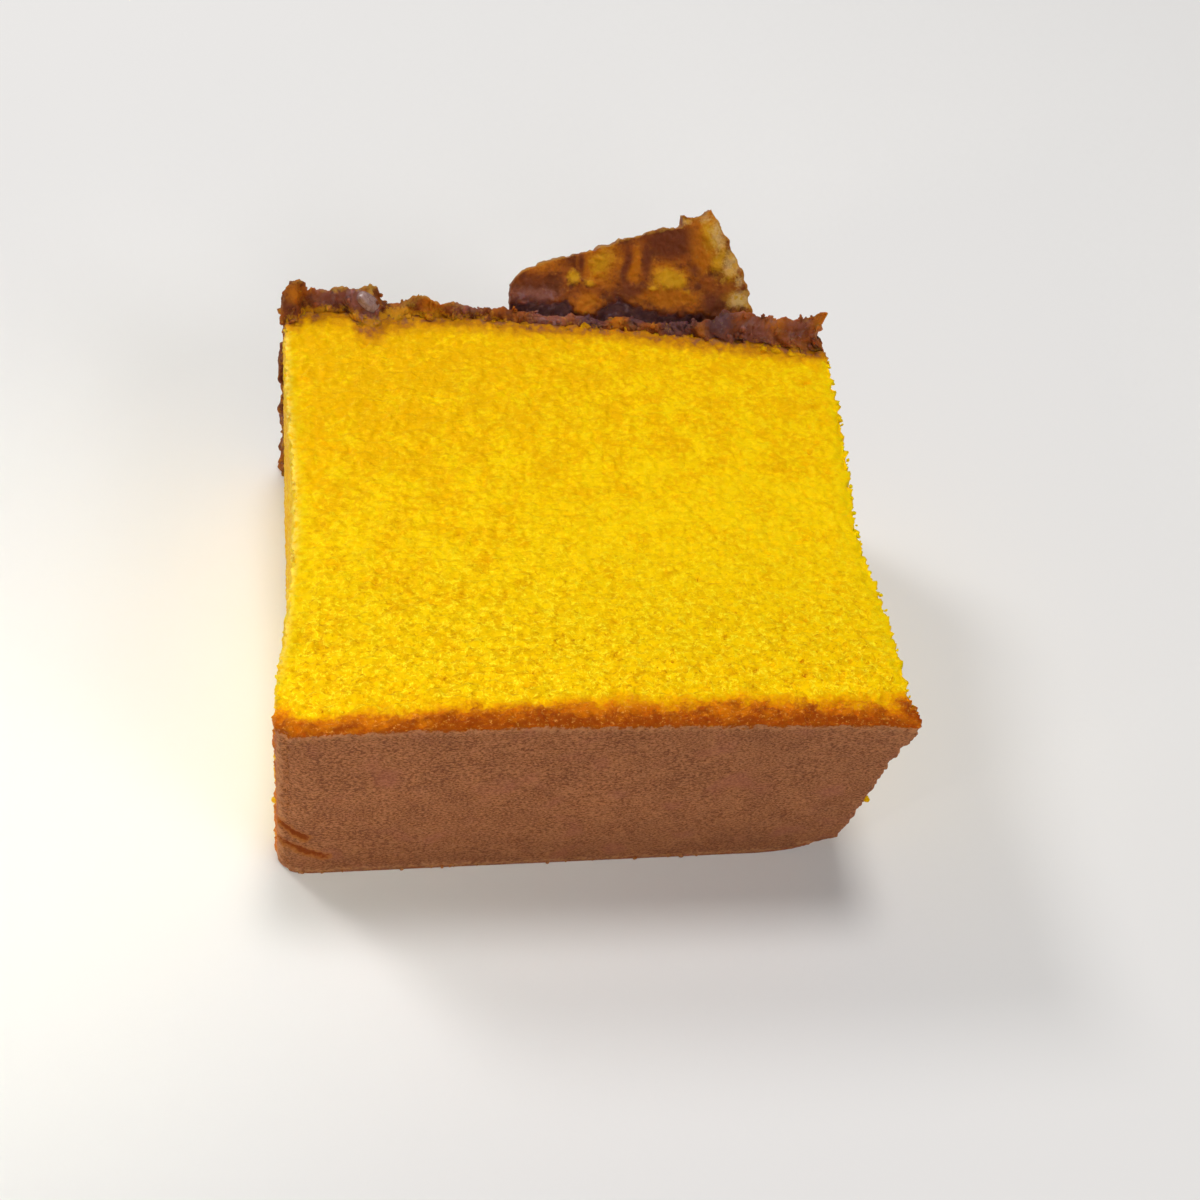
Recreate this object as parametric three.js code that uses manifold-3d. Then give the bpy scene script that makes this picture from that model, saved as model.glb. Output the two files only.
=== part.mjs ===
// A slice of castella sponge cake, lying on one cut face. The smooth brown skin of the loaf's top is
// its front side, and the sticky skin of the loaf's bottom, torn where the baking paper came off, is
// its back side. A piece of that torn skin stands up behind the slice.
import * as THREE from "three";
import { mergeVertices } from "three/addons/utils/BufferGeometryUtils.js";
import Module from "manifold-3d";

// Driving dimensions, in millimetres. X runs across the loaf, Y from its top skin to its bottom skin,
// and Z up through the slice. The slice is laid out from its front left corner on the table.
const LOAF_WIDTH = 66;
const LOAF_HEIGHT = 58.4;
const SLICE_THICKNESS = 29;
const ORIGIN = { x: 33, y: 34.15 }; // the middle of the finished slice's outline

// How the soft crumb has settled between its two skins.
const BACK_TAPER = { drop: 3.8, power: 2.2 }; // the loaf is lower on its right side
const CUT_SAG = { depth: 1, power: 1.5 }; // the upper cut face is dished between the skins
// The sides draw in between the skins, most at this depth and over this reach to either side of it.
const WAIST_LEFT = { foot: 0.7, top: 1.6, depth: 27, reach: 17 };
const WAIST_RIGHT = { foot: 1.1, top: 1.1, depth: 29, reach: 10 };
const SPREAD_LEFT = 0.4; // the slice is wider at its front
const SIDE_UNDERCUT = 1.6; // the right side leans in towards the table
const SKIN_TIP = { out: 0.9, back: 2.2, down: 5 }; // the top skin's upper right corner sticks out
const FRONT_BULGE = 0.4;
const FOOT_TURN = { left: -0.8, right: 0.9 }; // the front's lower edge lies slightly askew
const LEFT_DROP = { height: 2.2, reach: 10 }; // the front upper edge sinks towards its ends
const RIGHT_DROP = { height: 1.2, reach: 5 };
const DROP_REACH_BACK = 12;
const FRONT_LEFT_RADIUS = 2.2; // upright edges beside the top skin
const FRONT_RIGHT_RADIUS = 0.8;
const FOOT_LEFT_RADIUS = 1.5; // long edges on the table
const FOOT_RIGHT_RADIUS = { across: 9, up: 5.5, backShare: 0.4 };

// The torn bottom skin on the back.
const SKIN_THICKNESS = 1.5;
const SKIN_RELIEF = 0.7; // lumps and pits where the paper tore the crumb
const RELIEF_PITCH = 3.2;
// From the crumb outwards, as [share of the thickness, share of the rim's height].
const SKIN_PROFILE = [
  [0.2, 0.8],
  [0.6, 1],
  [1, 0.7],
];
const SKIN_END_OVERHANG = 0.4; // it sticks out past the crumb at the left
const SKIN_END_LUMP = { height: 0.5, reach: 2.2, levels: [1.2, 12.2, 18.8] };
// Height of its ragged upper edge above the cut face, from left to right, as [x, height].
const RIM = [
  [0, 2.5],
  [1.6, 3.8],
  [2.5, 3.8],
  [3.1, 2.8],
  [5.3, 2.3],
  [7.6, 2.9],
  [10.4, 2.8],
  [11, 1.4],
  [12.9, 0.5],
  [15.6, 2.2],
  [17, 2.4],
  [19.8, 1.6],
  [22.9, 0.6],
  [24.4, 1.4],
  [27, 1.1],
  [35, 0.3],
  [50, 1.1],
  [56.5, 3.9],
  [60.5, 3],
  [63, 3.3],
  [64.9, 4.9],
  [66, 0.6],
];

// The piece of skin that peeled off and stands up, leaning back.
const FLAP_LEFT = 27.3;
const FLAP_RIGHT = 58.2;
const FLAP_THICKNESS = 1.3;
const FLAP_LEAN = THREE.MathUtils.degToRad(39);
const FLAP_BEND_RADIUS = 11;
const FLAP_BEND_END = { behind: 2.7, below: 2 }; // from the crumb's back upper edge
const FLAP_NARROWING = 0.45; // how far its right edge slants in for each millimetre of height
const FLAP_WAVE = { height: 0.8, pitch: 7 };
// Its length above the bend, from its left end to its right end, as [share of its width, length].
const FLAP_EDGE = [
  [0, 4.2],
  [0.05, 5.9],
  [0.22, 7.8],
  [0.42, 9.6],
  [0.62, 11.7],
  [0.84, 13.3],
  [0.88, 14.9],
  [0.93, 14.6],
  [1, 15.9],
];

// Coarse sugar that lay under the loaf: one crystal sits on the rim, the others are on the back.
const SUGAR_SIZE = { x: 2.4, y: 1.9, z: 1.8 };
const SUGAR_ON_RIM = { x: 9.9, above: 1.7 };
const SUGAR_ON_BACK = { count: 6, lowest: 3, highest: 19, spread: 0.6, seed: 7 };

// Steps of the meshes.
const STEPS = { across: 40, crumb: 14, up: 10 };
const FLAP_STEPS = [24, 1, 11];

const wasm = await Module();
wasm.setup();

const mix = THREE.MathUtils.lerp;

// Height of a ragged edge, given as a list of [place, height], at one place.
function edgeHeight(edge, place) {
  const next = edge.findIndex(([at]) => at > place);
  if (next === 0) {
    return edge[0][1];
  }
  if (next < 0) {
    return edge[edge.length - 1][1];
  }
  const [from, low] = edge[next - 1];
  const [to, high] = edge[next];
  return mix(low, high, (place - from) / (to - from));
}

// A fixed random number from 0 to 1 for each pair of whole numbers.
function scatter(i, j) {
  const value = Math.sin(i * 127.1 + j * 311.7) * 43758.5453;
  return value - Math.floor(value);
}

// Smooth bumps from -1 to 1 over a square lattice of unit pitch.
function bumps(a, b) {
  const i = Math.floor(a);
  const j = Math.floor(b);
  const s = THREE.MathUtils.smoothstep(a - i, 0, 1);
  const t = THREE.MathUtils.smoothstep(b - j, 0, 1);
  const near = mix(scatter(i, j), scatter(i + 1, j), s);
  const far = mix(scatter(i, j + 1), scatter(i + 1, j + 1), s);
  return 2 * mix(near, far, t) - 1;
}

// Rounds a corner: two distances from its walls come back moved onto its arc.
function roundedCorner(first, second, firstRadius, secondRadius) {
  const a = 1 - first / firstRadius;
  const b = 1 - second / secondRadius;
  if (a <= 0 || b <= 0) {
    return [first, second];
  }
  const pull = Math.max(a, b) / Math.hypot(a, b);
  return [firstRadius * (1 - a * pull), secondRadius * (1 - b * pull)];
}

// Distance from the front skin to the crumb's back, at a share of the width.
function backLine(u) {
  return LOAF_HEIGHT - BACK_TAPER.drop * u ** BACK_TAPER.power;
}

// Height of the upper cut face, at shares of the width and of the depth.
function cutHeight(u, v) {
  const x = u * LOAF_WIDTH;
  const left = LEFT_DROP.height * Math.exp(-x / LEFT_DROP.reach);
  const right = RIGHT_DROP.height * Math.exp((x - LOAF_WIDTH) / RIGHT_DROP.reach);
  const drop = (left + right) * Math.exp((-v * LOAF_HEIGHT) / DROP_REACH_BACK);
  return SLICE_THICKNESS - drop - CUT_SAG.depth * Math.sin(Math.PI * v) ** CUT_SAG.power;
}

// How far a side draws in, at shares of the depth and of the height.
function waist({ foot, top, depth, reach }, v, w) {
  return mix(foot, top, w) * Math.exp(-(((v * LOAF_HEIGHT - depth) / reach) ** 2));
}

// The slice's left and right sides, at shares of the depth and of the height.
function sides(v, w) {
  const back = (v * LOAF_HEIGHT) / SKIN_TIP.back;
  const down = ((1 - w) * SLICE_THICKNESS) / SKIN_TIP.down;
  const tip = SKIN_TIP.out * Math.exp(-back * back - down * down);
  const left = waist(WAIST_LEFT, v, w) - SPREAD_LEFT * (1 - v);
  const right = LOAF_WIDTH + tip - waist(WAIST_RIGHT, v, w) - SIDE_UNDERCUT * (1 - w);
  return [left, right];
}

// The crumb and its smooth front skin: a block that is waisted, dished and rounded.
function crumbPoint(u, v, w) {
  const [left, right] = sides(v, w);
  const foot = mix(FOOT_TURN.left, FOOT_TURN.right, u) * (1 - w);
  const front = foot - FRONT_BULGE * Math.sin(Math.PI * w) * Math.sin(Math.PI * u);
  const footShare = mix(1, FOOT_RIGHT_RADIUS.backShare, v);
  const footAcross = FOOT_RIGHT_RADIUS.across * footShare;
  const footUp = FOOT_RIGHT_RADIUS.up * footShare;

  let fromLeft = u * (right - left);
  let depth = v * (backLine(u) - front);
  let z = w * cutHeight(u, v);
  [fromLeft, z] = roundedCorner(fromLeft, z, FOOT_LEFT_RADIUS, FOOT_LEFT_RADIUS);
  let fromRight = right - left - fromLeft;
  [fromRight, z] = roundedCorner(fromRight, z, footAcross, footUp);
  fromLeft = right - left - fromRight;
  [fromLeft, depth] = roundedCorner(fromLeft, depth, FRONT_LEFT_RADIUS, FRONT_LEFT_RADIUS);
  fromRight = right - left - fromLeft;
  [fromRight, depth] = roundedCorner(fromRight, depth, FRONT_RIGHT_RADIUS, FRONT_RIGHT_RADIUS);
  return new THREE.Vector3(right - fromRight, front + depth, z);
}

// The torn skin on the back, at a share of its thickness: it has lumps, pits and a ragged upper edge.
function skinPoint(u, thickness, rim, w) {
  const along = u * LOAF_WIDTH;
  const z = w * (cutHeight(u, 1) + rim * edgeHeight(RIM, along));
  const lumps = SKIN_END_LUMP.levels.map(
    (level) => SKIN_END_LUMP.height * Math.exp(-(((z - level) / SKIN_END_LUMP.reach) ** 2)),
  );
  const [, right] = sides(1, w);
  const leftEnd = -SKIN_END_OVERHANG - Math.max(...lumps);
  const relief = SKIN_RELIEF * bumps(along / RELIEF_PITCH, z / RELIEF_PITCH);
  const y = backLine(u) + thickness * (SKIN_THICKNESS + relief);
  return new THREE.Vector3(mix(leftEnd, right, u), y, z);
}

// A point of the whole slice: the mesh's last rows from front to back run through the bottom skin.
function slicePoint(u, v, w) {
  const row = Math.round(v * (STEPS.crumb + SKIN_PROFILE.length));
  if (row <= STEPS.crumb) {
    return crumbPoint(u, row / STEPS.crumb, w);
  }
  const [thickness, rim] = SKIN_PROFILE[row - STEPS.crumb - 1];
  return skinPoint(u, thickness, rim, w);
}

// The flap: a sheet that bends away from the back and then runs straight up and back.
function flapPoint(u, v, w) {
  const bendLength = FLAP_BEND_RADIUS * FLAP_LEAN;
  const length = w * (bendLength + edgeHeight(FLAP_EDGE, u));
  const angle = Math.min(length, bendLength) / FLAP_BEND_RADIUS;
  const straight = Math.max(0, length - bendLength);
  const right = FLAP_RIGHT - FLAP_NARROWING * straight;
  const x = mix(FLAP_LEFT, right, u);
  const wave = FLAP_WAVE.height * bumps(x / FLAP_WAVE.pitch, length / FLAP_WAVE.pitch) * w;
  const offset = (v - 0.5) * FLAP_THICKNESS + wave;

  const bendBack = FLAP_BEND_RADIUS * (Math.cos(angle) - Math.cos(FLAP_LEAN));
  const bendDown = FLAP_BEND_RADIUS * (Math.sin(FLAP_LEAN) - Math.sin(angle));
  const behind = FLAP_BEND_END.behind - bendBack + straight * Math.sin(FLAP_LEAN);
  const above = -FLAP_BEND_END.below - bendDown + straight * Math.cos(FLAP_LEAN);
  return new THREE.Vector3(
    x,
    backLine(x / LOAF_WIDTH) + behind + offset * Math.cos(angle),
    SLICE_THICKNESS + above - offset * Math.sin(angle),
  );
}

// A closed solid from a geometry's triangles.
function solidFrom(geometry) {
  geometry.deleteAttribute("normal");
  geometry.deleteAttribute("uv");
  const merged = mergeVertices(geometry, 1e-4);
  return new wasm.Manifold(
    new wasm.Mesh({
      numProp: 3,
      vertProperties: merged.getAttribute("position").array,
      triVerts: new Uint32Array(merged.index.array),
    }),
  );
}

// A unit box in steps along X, Y and Z, with each of its points moved to its place.
function shapedBox([across, deep, high], place) {
  const geometry = new THREE.BoxGeometry(1, 1, 1, across, deep, high);
  geometry.translate(0.5, 0.5, 0.5);
  const position = geometry.getAttribute("position");
  for (let i = 0; i < position.count; i += 1) {
    const point = place(position.getX(i), position.getY(i), position.getZ(i));
    position.setXYZ(i, point.x, point.y, point.z);
  }
  return solidFrom(geometry);
}

// One sugar crystal, turned by three angles about its centre.
function sugarCrystal(centre, turn) {
  const geometry = new THREE.IcosahedronGeometry(0.5);
  geometry.scale(SUGAR_SIZE.x, SUGAR_SIZE.y, SUGAR_SIZE.z);
  geometry.rotateX(turn[0]);
  geometry.rotateY(turn[1]);
  geometry.rotateZ(turn[2]);
  geometry.translate(centre.x, centre.y, centre.z);
  return solidFrom(geometry);
}

// Centres of the crystals: one on the rim, the rest one to each stretch of the back.
function sugarCentres() {
  const rimShare = SUGAR_ON_RIM.x / LOAF_WIDTH;
  const rimHeight = SLICE_THICKNESS + SUGAR_ON_RIM.above;
  const centres = [new THREE.Vector3(SUGAR_ON_RIM.x, backLine(rimShare), rimHeight)];
  const { count, lowest, highest, spread, seed } = SUGAR_ON_BACK;
  for (let i = 0; i < count; i += 1) {
    const u = (i + 0.5 + spread * (scatter(seed, i) - 0.5)) / count;
    const level = mix(lowest, highest, scatter(i, seed));
    const surface = backLine(u) + SKIN_THICKNESS;
    centres.push(new THREE.Vector3(u * LOAF_WIDTH, surface, level));
  }
  return centres;
}

function castellaSlice() {
  const rows = STEPS.crumb + SKIN_PROFILE.length;
  let slice = shapedBox([STEPS.across, rows, STEPS.up], slicePoint);
  slice = slice.add(shapedBox(FLAP_STEPS, flapPoint));
  sugarCentres().forEach((centre, i) => {
    const turn = [1, 2, 3].map((axis) => Math.PI * scatter(i, axis));
    slice = slice.add(sugarCrystal(centre, turn));
  });
  const { vertProperties, triVerts } = slice.getMesh();
  const geometry = new THREE.BufferGeometry();
  geometry.setAttribute("position", new THREE.BufferAttribute(vertProperties, 3));
  geometry.setIndex(new THREE.BufferAttribute(triVerts, 1));
  return geometry;
}

const geometry = castellaSlice();
geometry.translate(-ORIGIN.x, -ORIGIN.y, 0);
geometry.computeVertexNormals();

const crumb = new THREE.MeshStandardMaterial({ color: 0xf2c100, roughness: 0.85, metalness: 0 });
const slice = new THREE.Mesh(geometry, crumb);
slice.name = "castella_slice";

const part = new THREE.Group();
part.add(slice);
export default part;
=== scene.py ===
# %% [markdown]
# # A slice of castella, dressed for its portrait
#
# Castella is a fine, moist sponge cake that is baked in a wooden frame and sliced like a loaf. This
# slice lies on one cut face: the egg-yellow crumb looks up, the smooth brown top skin is its front,
# and the sticky bottom skin, torn where the baking paper came off, is its back.
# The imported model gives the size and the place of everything, so it is loaded first.

import math
from functools import reduce

import bpy
import numpy as np
from mathutils import Matrix, Vector


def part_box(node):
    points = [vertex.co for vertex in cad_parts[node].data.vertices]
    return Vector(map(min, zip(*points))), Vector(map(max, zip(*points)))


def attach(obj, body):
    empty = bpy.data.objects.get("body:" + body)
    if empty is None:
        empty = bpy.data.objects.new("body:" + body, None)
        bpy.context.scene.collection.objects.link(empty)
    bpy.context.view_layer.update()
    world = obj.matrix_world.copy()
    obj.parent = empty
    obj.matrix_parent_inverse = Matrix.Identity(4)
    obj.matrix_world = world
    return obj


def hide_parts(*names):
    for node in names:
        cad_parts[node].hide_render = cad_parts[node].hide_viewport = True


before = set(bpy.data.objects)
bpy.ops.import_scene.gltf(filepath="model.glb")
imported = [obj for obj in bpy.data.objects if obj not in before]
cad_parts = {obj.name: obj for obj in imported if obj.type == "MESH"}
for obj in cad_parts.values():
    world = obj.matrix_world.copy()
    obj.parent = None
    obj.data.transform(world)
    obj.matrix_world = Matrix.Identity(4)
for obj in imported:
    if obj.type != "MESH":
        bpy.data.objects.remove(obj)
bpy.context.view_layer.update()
NODE = "castella_slice"
low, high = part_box(NODE)
print("packed slice, mm:", [round(1000 * side, 2) for side in high - low])

# %% [markdown]
# ## Working in millimetres
#
# A cake is a small thing. Its shapes are easier to think about in millimetres, laid out from the
# slice's front left corner on the table, so every piece is shaped in those units and moved into the
# scene's metres as the last step. The origin of the scene is the middle of the slice's outline.

# %% Units and the move into the scene
MM = 0.001
MIDDLE = (33, 34.15)  # where the scene's origin lies in the slice's own layout


def into_scene(piece):
    """Moves a piece's mesh from layout millimetres to scene metres."""
    move = Matrix.Translation((-MIDDLE[0], -MIDDLE[1], 0))
    piece.data.transform(Matrix.Scale(MM, 4) @ move)
    piece.data.update()


def new_piece(name, points, faces):
    """Makes a mesh object from arrays of points and faces."""
    mesh = bpy.data.meshes.new(name)
    mesh.from_pydata([tuple(p) for p in points], [], faces)
    mesh.validate()
    piece = bpy.data.objects.new(name, mesh)
    bpy.context.scene.collection.objects.link(piece)
    return piece


def keep_values(piece, name, values):
    """Stores one number for each point of a piece, for node trees and materials to read."""
    layer = piece.data.attributes.new(name, "FLOAT", "POINT")
    layer.data.foreach_set("value", np.asarray(values, np.float32))


# %% [markdown]
# ## The loaf's own rules
#
# The cake's shape follows a few rules: how wide and high the loaf is, how the soft crumb sags and
# draws in between its two firm skins, and how the corners have rounded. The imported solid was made
# from the same rules with large facets. Here they are written again so that a fine mesh can be
# laid over the same shape.

# %% Sizes of the slice
LOAF_WIDTH = 66
LOAF_HEIGHT = 58.4
SLICE_THICKNESS = 29
BACK_TAPER = {"drop": 3.8, "power": 2.2}
CUT_SAG = {"depth": 1, "power": 1.5}
WAIST_LEFT = {"foot": 0.7, "top": 1.6, "depth": 27, "reach": 17}
WAIST_RIGHT = {"foot": 1.1, "top": 1.1, "depth": 29, "reach": 10}
SPREAD_LEFT = 0.25
SIDE_UNDERCUT = 1.6
SKIN_TIP = {"out": 0.9, "back": 2.2, "down": 5}
FRONT_BULGE = 0.4
FOOT_TURN = (-0.8, 0.9)
LEFT_DROP = (2.2, 10)  # the cut face drops so much at its front corner, over that reach
RIGHT_DROP = (1.2, 5)
DROP_REACH_BACK = 12
FRONT_LEFT_RADIUS = (4, 1.6)  # across and back
FRONT_RIGHT_RADIUS = 0.8
FOOT_LEFT_RADIUS = 0.9
FOOT_RIGHT_RADIUS = (10, 5.5)  # across and up, shrinking to this share at the back:
FOOT_RIGHT_BACK = 0.36

# %% Small tools for shapes


def mix(a, b, share):
    return a + (b - a) * share


def profile(edge, place):
    """Height of an edge that is given as a list of (place, height)."""
    return np.interp(place, [at for at, _ in edge], [height for _, height in edge])


def bell(distance, reach):
    """One at no distance, fading to nothing over about twice the reach."""
    return np.exp(-((distance / reach) ** 2))


def add_teeth(edge, place, teeth):
    """An edge with ragged bumps along it, from a list of (height, pitch, row of the pattern)."""
    for height, pitch, row in teeth:
        edge = edge + height * bumps(place / pitch, place * 0 + row)
    return edge


def scatter(i, j):
    """A fixed random number from 0 to 1 for each pair of whole numbers."""
    value = np.sin(i * 127.1 + j * 311.7) * 43758.5453
    return value - np.floor(value)


def bumps(a, b):
    """Smooth bumps from -1 to 1 over a square lattice of unit pitch."""
    i, j = np.floor(a), np.floor(b)
    s, t = a - i, b - j
    s, t = s * s * (3 - 2 * s), t * t * (3 - 2 * t)
    near, far = (mix(scatter(i, row), scatter(i + 1, row), s) for row in (j, j + 1))
    return 2 * mix(near, far, t) - 1


def rounded_corner(first, second, first_radius, second_radius):
    """Two distances from a corner's walls, moved onto its arc."""
    a = np.maximum(1 - first / first_radius, 0)
    b = np.maximum(1 - second / second_radius, 0)
    inside = (a > 0) & (b > 0)
    pull = np.where(inside, np.maximum(a, b) / np.maximum(np.hypot(a, b), 1e-9), 1)
    first = np.where(inside, first_radius * (1 - a * pull), first)
    second = np.where(inside, second_radius * (1 - b * pull), second)
    return first, second


# %% The slice's sides, cut face and back


def back_line(u):
    """Distance from the top skin to the crumb's back, at a share of the width."""
    return LOAF_HEIGHT - BACK_TAPER["drop"] * np.clip(u, 0, 1) ** BACK_TAPER["power"]


def cut_height(u, v):
    """Height of the upper cut face."""
    x = u * LOAF_WIDTH
    ends = ((x, *LEFT_DROP), (LOAF_WIDTH - x, *RIGHT_DROP))
    drop = sum(depth * np.exp(-away / reach) for away, depth, reach in ends)
    drop = drop * np.exp(-v * LOAF_HEIGHT / DROP_REACH_BACK)
    return SLICE_THICKNESS - drop - CUT_SAG["depth"] * np.sin(np.pi * v) ** CUT_SAG["power"]


def waist(side, v, w):
    drawn_in = bell(v * LOAF_HEIGHT - side["depth"], side["reach"])
    return mix(side["foot"], side["top"], w) * drawn_in


def sides(v, w):
    back, down = v * LOAF_HEIGHT / SKIN_TIP["back"], (1 - w) * SLICE_THICKNESS / SKIN_TIP["down"]
    tip = SKIN_TIP["out"] * np.exp(-(back**2) - down**2)
    left = waist(WAIST_LEFT, v, w) - SPREAD_LEFT * (1 - v)
    right = LOAF_WIDTH + tip - waist(WAIST_RIGHT, v, w) - SIDE_UNDERCUT * (1 - w)
    return left, right


def crumb_point(u, v, w):
    """A point of the waisted, dished and rounded block, from three shares."""
    left, right = sides(v, w)
    foot = mix(FOOT_TURN[0], FOOT_TURN[1], u) * (1 - w)
    front = foot - FRONT_BULGE * np.sin(np.pi * w) * np.sin(np.pi * u)
    width = right - left
    x = u * width
    y = v * (back_line(u) - front)
    z = w * cut_height(u, v)
    x, z = rounded_corner(x, z, FOOT_LEFT_RADIUS, FOOT_LEFT_RADIUS)
    across, up = (radius * mix(1, FOOT_RIGHT_BACK, v) for radius in FOOT_RIGHT_RADIUS)
    from_right, z = rounded_corner(width - x, z, across, up)
    x, y = rounded_corner(width - from_right, y, *FRONT_LEFT_RADIUS)
    from_right, y = rounded_corner(width - x, y, FRONT_RIGHT_RADIUS, FRONT_RIGHT_RADIUS)
    return np.stack([right - from_right, front + y, z], -1)


print("cut face, middle height mm:", float(cut_height(0.5, 0.5)))

# %% [markdown]
# ## A box that can be bent
#
# Both the block and the peeled flap are boxes at heart. A box of fine square steps is easy to
# build as a lattice of shares from 0 to 1, and any rule can then move its points. A back and a
# bottom that other pieces or the table hide can be left as long strips and large cells, which saves
# faces for the sides that show.

# %% A closed box lattice


def box_lattice(steps, plain=None):
    """Points (in steps) and faces of a closed box.

    With plain, its back is upright strips, and its bottom is cells of that many steps across and
    back. The outer strips and cells take every point of the edge they meet, so nothing gapes.
    """
    nx, ny, nz = steps
    used = np.zeros((nx + 1, ny + 1, nz + 1), bool)
    used[:, :, nz] = used[:, 0, :] = used[0] = used[nx] = True
    if plain:
        wide, long = plain
        used[:, ny, 0] = used[::wide, ::long, 0] = True
    else:
        used[:, ny, :] = used[:, :, 0] = True
    number = np.cumsum(used.ravel()).reshape(used.shape) - 1
    place = np.argwhere(used)

    def quads(grid, turned):
        a, b, c, d = grid[:-1, :-1], grid[1:, :-1], grid[1:, 1:], grid[:-1, 1:]
        order = (a, d, c, b) if turned else (a, b, c, d)
        return np.stack([corner.ravel() for corner in order], -1).tolist()

    faces = quads(number[:, :, nz], False) + quads(number[:, 0, :], False)
    faces += quads(number[0], True) + quads(number[nx], False)
    if not plain:
        faces += quads(number[:, ny, :], True) + quads(number[:, :, 0], True)
        return place, faces

    def run(line, on_edge):
        """A cell's corners along one side: all points on the box's edge, only the first inside."""
        return line.tolist() if on_edge else line[:1].tolist()

    for i in range(nx):
        back = [number[i + 1, ny, 0], number[i, ny, 0], number[i, ny, nz], number[i + 1, ny, nz]]
        if i == 0:
            back[2:2] = number[0, ny, 1:nz].tolist()
        if i == nx - 1:
            back[4:4] = number[nx, ny, nz - 1 : 0 : -1].tolist()
        faces.append([int(n) for n in back])
    bottom = number[:, :, 0]
    for i in range(0, nx, wide):
        for j in range(0, ny, long):
            right, behind = i + wide, j + long
            faces.append(
                run(bottom[i, j:behind], i == 0)
                + run(bottom[i:right, behind], behind == ny)
                + run(bottom[right, behind:j:-1], right == nx)
                + run(bottom[right:i:-1, j], j == 0)
            )
    return place, faces


# %% [markdown]
# ## Short ways to wire nodes
#
# Relief and finishes are both node trees, and they share most of their nodes: noise, cells, fades
# and mixes. One small class keeps the wiring short, for geometry trees and for materials alike.

# %% Wiring tools


class Wiring:
    """A node tree with short ways to add to it. Values may be numbers or other nodes' outputs."""

    def __init__(self, tree):
        self.tree = tree

    def add(self, kind, inputs=None, output=0, **settings):
        node = self.tree.nodes.new(kind)
        for name, value in settings.items():
            setattr(node, name, value)
        for key, value in (inputs or {}).items():
            if isinstance(value, bpy.types.NodeSocket):
                self.tree.links.new(value, node.inputs[key])
            else:
                node.inputs[key].default_value = value
        return node.outputs[output]

    def math(self, operation, *values):
        inputs = dict(enumerate(values))
        return self.add("ShaderNodeMath", inputs, operation=operation)

    def plus(self, *values):
        return reduce(lambda total, value: self.math("ADD", total, value), values)

    def times(self, *values):
        return reduce(lambda total, value: self.math("MULTIPLY", total, value), values)

    def vector(self, operation, first, second=None):
        inputs = {0: first}
        if second is not None:
            inputs["Scale" if operation == "SCALE" else 1] = second
        return self.add("ShaderNodeVectorMath", inputs, operation=operation)

    def fade(self, value, start, end, low=0, high=1):
        """A smooth change from low to high while the value goes from start to end."""
        inputs = {0: value, 1: start, 2: end, 3: low, 4: high}
        return self.add("ShaderNodeMapRange", inputs, interpolation_type="SMOOTHSTEP")

    def noise(self, size, detail=2, rough=0.5, at=None, output=0):
        """Cloudy noise from 0 to 1, with lumps of about this size."""
        inputs = {"Scale": 1 / size, "Detail": detail, "Roughness": rough}
        return self.add("ShaderNodeTexNoise", {"Vector": at or self.place, **inputs}, output)

    def waver(self, *values, **options):
        """The same noise, around zero."""
        return self.plus(self.noise(*values, **options), -0.5)

    def cells(self, place, size):
        """Distance to the middle of the nearest cell, in cell sizes."""
        return self.add("ShaderNodeTexVoronoi", {"Vector": place, "Scale": 1 / size})

    def bubbles(self, place, size, smallest, largest, closed):
        """Round dents from 0 to 1, one to a cell: a share stays closed, the rest differ in size."""
        share = 1 / size if isinstance(size, (int, float)) else self.math("DIVIDE", 1, size)
        inputs = {"Vector": self.vector("SCALE", place, share), "Scale": 1}
        distance = self.add("ShaderNodeTexVoronoi", inputs)
        own = self.parts(distance.node.outputs["Color"])
        radius = self.blend(own[0], smallest, largest)
        bowl = self.fade(self.math("DIVIDE", distance, radius), 1, 0.25)
        is_open = self.math("GREATER_THAN", own[1], closed)
        return self.times(bowl, is_open, self.blend(own[2], 0.4, 1))

    def stretched(self, shares):
        """The piece's own place, scaled along each axis: below 1 draws a pattern out."""
        return self.vector("MULTIPLY", self.place, shares)

    def drifted(self, place, size, amount):
        """A place pushed about by noise, so that a pattern on it loses its regularity."""
        drift = self.vector("SUBTRACT", self.noise(size, at=place, output=1), (0.5, 0.5, 0.5))
        return self.vector("ADD", place, self.vector("SCALE", drift, amount))

    def blend(self, share, first, second):
        return self.add("ShaderNodeMix", {0: share, 2: first, 3: second}, 0, data_type="FLOAT")

    def paint(self, share, first, second):
        """Two colours mixed by a share."""
        inputs = {0: share}
        for key, colour in ((6, first), (7, second)):
            inputs[key] = colour if isinstance(colour, bpy.types.NodeSocket) else (*colour, 1)
        return self.add("ShaderNodeMix", inputs, 2, data_type="RGBA")

    def parts(self, value):
        """The three parts of a colour or vector."""
        self.add("ShaderNodeSeparateXYZ", {0: value})
        return self.tree.nodes[-1].outputs


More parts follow.
